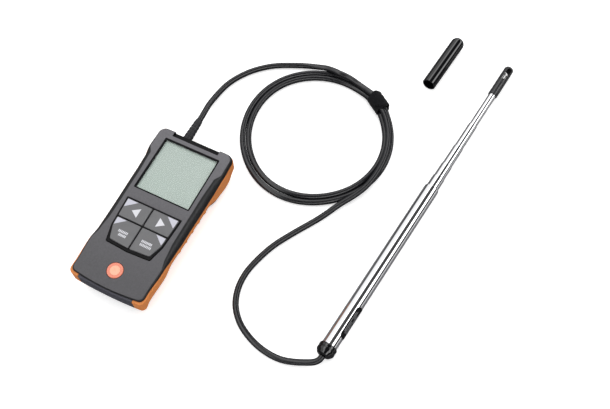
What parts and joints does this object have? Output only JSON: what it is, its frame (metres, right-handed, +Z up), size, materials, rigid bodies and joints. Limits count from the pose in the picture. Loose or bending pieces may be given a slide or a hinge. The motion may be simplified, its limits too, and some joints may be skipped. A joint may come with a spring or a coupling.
{
  "type": "thermal anemometer",
  "caption": "Hand-held air-velocity meter with display and keypad, wired to a telescopic probe with a slotted sensor head, and the probe's loose cap.",
  "frame": {"origin": "centre of the meter's flat back, on the surface that it lies on", "axes": "+Z up out of the meter's face; +Y along the meter towards the end where its cable leaves, which is also the object's longest side as it lies; +X towards the probe"},
  "size_m": [0.2337, 0.338, 0.0279],
  "materials": {
    "shell_grey": "fine matt texture",
    "rear_grey": "fine matt texture",
    "grip_orange": "soft matt",
    "soft_black": "matt",
    "window_clear": "clear",
    "lcd_glass": "satin",
    "key_grey": "smooth matt",
    "spring_steel": "satin",
    "screw_steel": "satin",
    "badge_orange": "gloss",
    "board_green": "satin",
    "cell_sleeve": "gloss",
    "cable_grey": "satin",
    "strap_black": "woven",
    "gloss_black": "gloss",
    "chrome": "polished",
    "brass": "satin",
    "head_black": "satin",
    "ceramic_white": "satin",
    "label_black": "satin"
  },
  "bodies": {
    "instrument": {"front_shell": "shell_grey", "rear_shell": "rear_grey", "side_grip_left": "grip_orange", "side_grip_right": "grip_orange", "top_panel": "soft_black", "housing_screw_1": "screw_steel", "housing_screw_2": "screw_steel", "housing_screw_3": "screw_steel", "housing_screw_4": "screw_steel", "display_gasket": "soft_black", "display_window": "window_clear", "lcd_module": "lcd_glass", "keypad_frame": "soft_black", "dome_left": "spring_steel", "dome_right": "spring_steel", "dome_mode": "spring_steel", "dome_menu": "spring_steel", "badge_disc": "badge_orange", "main_board": "board_green", "battery_1": "cell_sleeve", "battery_2": "cell_sleeve", "battery_3": "cell_sleeve", "battery_contacts_low": "spring_steel", "battery_contacts_high": "spring_steel", "cable_boot": "soft_black", "cable_lead_meter": "cable_grey", "cable_coil": "cable_grey", "cable_tie": "strap_black", "cable_lead_probe": "cable_grey", "probe_end_cap": "gloss_black", "handle_tube": "chrome", "rating_label": "label_black"},
    "left_key": {"key_left": "key_grey"},
    "right_key": {"key_right": "key_grey"},
    "mode_key": {"key_mode": "key_grey"},
    "menu_key": {"key_menu": "key_grey"},
    "battery_door": {"battery_cover": "rear_grey"},
    "telescope_section_1": {"section_1": "chrome", "slide_bush_1": "brass"},
    "telescope_section_2": {"section_2": "chrome", "slide_bush_2": "brass"},
    "telescope_section_3": {"section_3": "chrome", "slide_bush_3": "brass"},
    "telescope_section_4": {"section_4": "chrome", "slide_bush_4": "brass"},
    "telescope_section_5": {"section_5": "chrome", "slide_bush_5": "brass", "sensor_head": "head_black", "flow_sensor": "ceramic_white", "temperature_sensor": "ceramic_white"},
    "loose_cap": {"protective_cap": "gloss_black"}
  },
  "joints": [
    {"name": "key_left_press", "type": "slide", "parent": "instrument", "child": "left_key", "axis": [0, 0, -1], "range_m": [0, 0.0007], "stiffness_N_per_m": 1500},
    {"name": "key_right_press", "type": "slide", "parent": "instrument", "child": "right_key", "axis": [0, 0, -1], "range_m": [0, 0.0007], "stiffness_N_per_m": 1500},
    {"name": "key_mode_press", "type": "slide", "parent": "instrument", "child": "mode_key", "axis": [0, 0, -1], "range_m": [0, 0.0007], "stiffness_N_per_m": 1500},
    {"name": "key_menu_press", "type": "slide", "parent": "instrument", "child": "menu_key", "axis": [0, 0, -1], "range_m": [0, 0.0007], "stiffness_N_per_m": 1500},
    {"name": "battery_cover_slide", "type": "slide", "parent": "instrument", "child": "battery_door", "axis": [0, -1, 0], "range_m": [0, 0.06]},
    {"name": "telescope_1", "type": "slide", "parent": "instrument", "child": "telescope_section_1", "axis": [0.1189, 0.9929, -0.0065], "range_m": [-0.0106, 0.1156]},
    {"name": "telescope_2", "type": "slide", "parent": "telescope_section_1", "child": "telescope_section_2", "axis": [0.1189, 0.9929, -0.0065], "range_m": [-0.0128, 0.11]},
    {"name": "telescope_3", "type": "slide", "parent": "telescope_section_2", "child": "telescope_section_3", "axis": [0.1189, 0.9929, -0.0065], "range_m": [-0.0192, 0.1002]},
    {"name": "telescope_4", "type": "slide", "parent": "telescope_section_3", "child": "telescope_section_4", "axis": [0.1189, 0.9929, -0.0065], "range_m": [-0.0247, 0.0913]},
    {"name": "telescope_5", "type": "slide", "parent": "telescope_section_4", "child": "telescope_section_5", "axis": [0.1189, 0.9929, -0.0065], "range_m": [-0.0342, 0.0785]},
    {"name": "cap_slide", "type": "slide", "parent": "instrument", "child": "loose_cap", "axis": [0.1236, 0.9923, 0], "range_m": [0, 0.05]}
  ]
}
